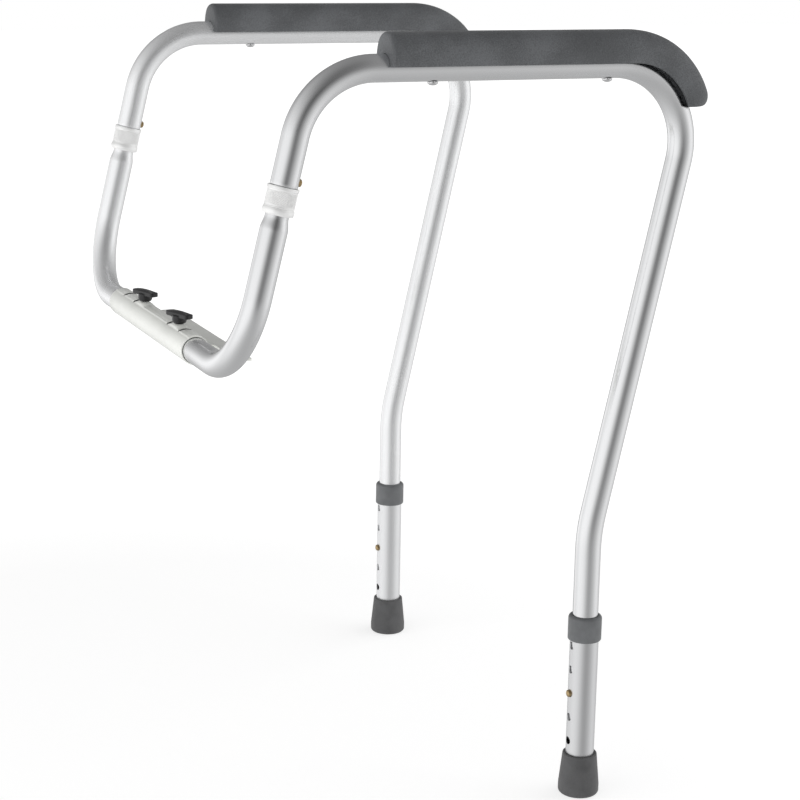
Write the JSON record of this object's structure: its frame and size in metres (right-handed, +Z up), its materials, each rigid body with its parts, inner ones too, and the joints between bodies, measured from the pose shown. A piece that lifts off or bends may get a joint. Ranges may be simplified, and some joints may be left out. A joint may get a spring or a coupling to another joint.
{
  "type": "toilet safety rail",
  "caption": "Toilet safety rail: bent tube arm frames with foam arm pads and height-adjustable legs, held in a cross bracket that bolts under the toilet seat.",
  "frame": {"origin": "middle of the bracket plate's flat underside, midway between its seat-bolt slots", "axes": "+X across the rail towards the seated user's left arm, -Y to the front, +Z up; the floor is at z = -0.4442"},
  "size_m": [0.5374, 0.481, 0.7635],
  "materials": {
    "coat": "cream-white gloss powder coat",
    "tube": "satin anodised",
    "leg_tube": "satin anodised, a little darker",
    "ring": "turned, with a knurled band",
    "pad": "dark grey moulded foam with a fine leather grain",
    "knob": "black moulded plastic",
    "collar": "grey moulded plastic",
    "rubber": "dark grey rubber",
    "brass": "bright",
    "steel": "zinc plated",
    "spring": "spring steel",
    "chrome": "bright plated",
    "plug": "black moulded plastic"
  },
  "bodies": {
    "bracket": {"bracket": "coat", "right_clamp_nut": "steel", "left_clamp_nut": "steel"},
    "right_slide": {"right_stub_plug": "plug"},
    "right_frame": {"right_arm_tube": "tube", "right_rear_tube": "tube", "right_arm_pad": "pad", "right_pad_screw_front": "chrome", "right_pad_screw_rear": "chrome", "right_pad_nut_front": "brass", "right_pad_nut_rear": "brass", "right_rear_button_spring": "spring", "right_leg_button_spring": "spring"},
    "right_leg": {"right_lower_leg": "leg_tube", "right_leg_collar": "collar", "right_rubber_tip": "rubber", "right_tip_washer": "steel"},
    "right_lock_ring": {"right_lock_ring": "ring"},
    "right_rear_button": {"right_rear_button": "brass"},
    "right_leg_button": {"right_leg_button": "brass"},
    "right_knob_stud": {"right_knob_stud": "steel"},
    "right_knob": {"right_wing_knob": "knob"},
    "left_slide": {"left_stub_plug": "plug"},
    "left_frame": {"left_arm_tube": "tube", "left_rear_tube": "tube", "left_arm_pad": "pad", "left_pad_screw_front": "chrome", "left_pad_screw_rear": "chrome", "left_pad_nut_front": "brass", "left_pad_nut_rear": "brass", "left_rear_button_spring": "spring", "left_leg_button_spring": "spring"},
    "left_leg": {"left_lower_leg": "leg_tube", "left_leg_collar": "collar", "left_rubber_tip": "rubber", "left_tip_washer": "steel"},
    "left_lock_ring": {"left_lock_ring": "ring"},
    "left_rear_button": {"left_rear_button": "brass"},
    "left_leg_button": {"left_leg_button": "brass"},
    "left_knob_stud": {"left_knob_stud": "steel"},
    "left_knob": {"left_wing_knob": "knob"}
  },
  "joints": [
    {"name": "right_frame_slide", "type": "slide", "parent": "bracket", "child": "right_slide", "axis": [-1, 0, 0], "range_m": [-0.01, 0.048]},
    {"name": "right_frame_turn", "type": "hinge", "parent": "right_slide", "child": "right_frame", "pos_m": [-0.2553, 0.036, 0.0143], "axis": [1, 0, 0], "range_deg": [-8, 8]},
    {"name": "right_leg_slide", "type": "slide", "parent": "right_frame", "child": "right_leg", "axis": [0, 0, -1], "range_m": [-0.0508, 0.0508], "deforming": ["right_leg_button", "right_leg_button_spring"]},
    {"name": "right_lock_ring_turn", "type": "hinge", "parent": "right_frame", "child": "right_lock_ring", "pos_m": [-0.2553, -0.00247, 0.17343], "axis": [0, 0.235, -0.972], "range_deg": [0, 90]},
    {"name": "right_rear_button_press", "type": "slide", "parent": "right_frame", "child": "right_rear_button", "axis": [0, 0.972, 0.235], "range_m": [0, 0.0053], "stiffness_N_per_m": 2000, "springref_m": -0.002, "deforming": ["right_rear_button_spring"]},
    {"name": "right_leg_button_press", "type": "slide", "parent": "right_frame", "child": "right_leg_button", "axis": [0, -1, 0], "range_m": [0, 0.0048], "stiffness_N_per_m": 2000, "springref_m": -0.002, "deforming": ["right_leg_button_spring"]},
    {"name": "right_knob_lift", "type": "slide", "parent": "bracket", "child": "right_knob_stud", "axis": [0, 0, 1], "range_m": [0, 0.00125]},
    {"name": "right_knob_turn", "type": "hinge", "parent": "right_knob_stud", "child": "right_knob", "pos_m": [-0.0768, 0.036, 0.0143], "axis": [0, 0, 1], "range_deg": [0, 450.5]},
    {"name": "left_frame_slide", "type": "slide", "parent": "bracket", "child": "left_slide", "axis": [1, 0, 0], "range_m": [-0.01, 0.027]},
    {"name": "left_frame_turn", "type": "hinge", "parent": "left_slide", "child": "left_frame", "pos_m": [0.2397, 0.036, 0.0143], "axis": [1, 0, 0], "range_deg": [-8, 8]},
    {"name": "left_leg_slide", "type": "slide", "parent": "left_frame", "child": "left_leg", "axis": [0, 0, -1], "range_m": [-0.0508, 0.0508], "deforming": ["left_leg_button", "left_leg_button_spring"]},
    {"name": "left_lock_ring_turn", "type": "hinge", "parent": "left_frame", "child": "left_lock_ring", "pos_m": [0.2397, -0.00247, 0.17343], "axis": [0, 0.235, -0.972], "range_deg": [0, 90]},
    {"name": "left_rear_button_press", "type": "slide", "parent": "left_frame", "child": "left_rear_button", "axis": [0, 0.972, 0.235], "range_m": [0, 0.0053], "stiffness_N_per_m": 2000, "springref_m": -0.002, "deforming": ["left_rear_button_spring"]},
    {"name": "left_leg_button_press", "type": "slide", "parent": "left_frame", "child": "left_leg_button", "axis": [0, -1, 0], "range_m": [0, 0.0048], "stiffness_N_per_m": 2000, "springref_m": -0.002, "deforming": ["left_leg_button_spring"]},
    {"name": "left_knob_lift", "type": "slide", "parent": "bracket", "child": "left_knob_stud", "axis": [0, 0, 1], "range_m": [0, 0.00125]},
    {"name": "left_knob_turn", "type": "hinge", "parent": "left_knob_stud", "child": "left_knob", "pos_m": [0.0402, 0.036, 0.0143], "axis": [0, 0, 1], "range_deg": [0, 450.5]}
  ],
  "couplings": [
    {"joint": "right_knob_turn", "follows": "right_knob_lift", "rad_per_m": 6283.2},
    {"joint": "left_knob_turn", "follows": "left_knob_lift", "rad_per_m": 6283.2}
  ]
}
